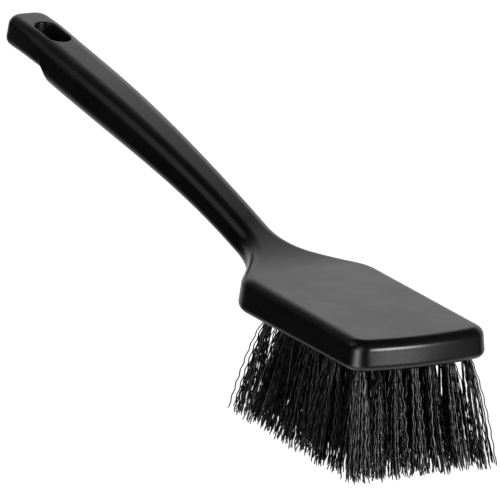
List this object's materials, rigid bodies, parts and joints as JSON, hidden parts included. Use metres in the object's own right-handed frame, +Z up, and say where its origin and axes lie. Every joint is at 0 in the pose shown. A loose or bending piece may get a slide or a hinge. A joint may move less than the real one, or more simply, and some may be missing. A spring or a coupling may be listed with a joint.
{
  "type": "wheel brush",
  "caption": "Long-handled hand brush for washing car wheels: a moulded block and handle with a hanging slot, set with flared tufts of stiff filament.",
  "frame": {"origin": "middle of the bristle field's working face, at the tip of the centre tuft, which is the level that the brush stands on", "axes": "+X towards the front of the head, away from the handle; +Z up, out of the back of the block; +Y across the head to the left when looking along +X"},
  "size_m": [0.4227, 0.0784, 0.1194],
  "materials": {
    "moulded_polypropylene": "satin black moulded polypropylene with a fine spark-eroded texture",
    "polyester_filament": "black crimped polyester filament, slightly glossy",
    "stainless_anchor": "flat stainless wire"
  },
  "bodies": {
    "root": {"block_and_handle": "moulded_polypropylene", "tuft_r1_c1": "polyester_filament", "tuft_r1_c2": "polyester_filament", "tuft_r1_c3": "polyester_filament", "tuft_r1_c4": "polyester_filament", "tuft_r1_c5": "polyester_filament", "tuft_r1_c6": "polyester_filament", "tuft_r1_c7": "polyester_filament", "tuft_r2_c1": "polyester_filament", "tuft_r2_c2": "polyester_filament", "tuft_r2_c3": "polyester_filament", "tuft_r2_c4": "polyester_filament", "tuft_r2_c5": "polyester_filament", "tuft_r2_c6": "polyester_filament", "tuft_r3_c1": "polyester_filament", "tuft_r3_c2": "polyester_filament", "tuft_r3_c3": "polyester_filament", "tuft_r3_c4": "polyester_filament", "tuft_r3_c5": "polyester_filament", "tuft_r3_c6": "polyester_filament", "tuft_r3_c7": "polyester_filament", "tuft_r4_c1": "polyester_filament", "tuft_r4_c2": "polyester_filament", "tuft_r4_c3": "polyester_filament", "tuft_r4_c4": "polyester_filament", "tuft_r4_c5": "polyester_filament", "tuft_r4_c6": "polyester_filament", "tuft_r5_c1": "polyester_filament", "tuft_r5_c2": "polyester_filament", "tuft_r5_c3": "polyester_filament", "tuft_r5_c4": "polyester_filament", "tuft_r5_c5": "polyester_filament", "tuft_r5_c6": "polyester_filament", "tuft_r5_c7": "polyester_filament", "tuft_r6_c1": "polyester_filament", "tuft_r6_c2": "polyester_filament", "tuft_r6_c3": "polyester_filament", "tuft_r6_c4": "polyester_filament", "tuft_r6_c5": "polyester_filament", "tuft_r6_c6": "polyester_filament", "tuft_r7_c1": "polyester_filament", "tuft_r7_c2": "polyester_filament", "tuft_r7_c3": "polyester_filament", "tuft_r7_c4": "polyester_filament", "tuft_r7_c5": "polyester_filament", "tuft_r7_c6": "polyester_filament", "tuft_r7_c7": "polyester_filament", "tuft_r8_c1": "polyester_filament", "tuft_r8_c2": "polyester_filament", "tuft_r8_c3": "polyester_filament", "tuft_r8_c4": "polyester_filament", "tuft_r8_c5": "polyester_filament", "tuft_r8_c6": "polyester_filament", "tuft_r9_c1": "polyester_filament", "tuft_r9_c2": "polyester_filament", "tuft_r9_c3": "polyester_filament", "tuft_r9_c4": "polyester_filament", "tuft_r9_c5": "polyester_filament", "tuft_r9_c6": "polyester_filament", "tuft_r9_c7": "polyester_filament"}
  },
  "joints": []
}
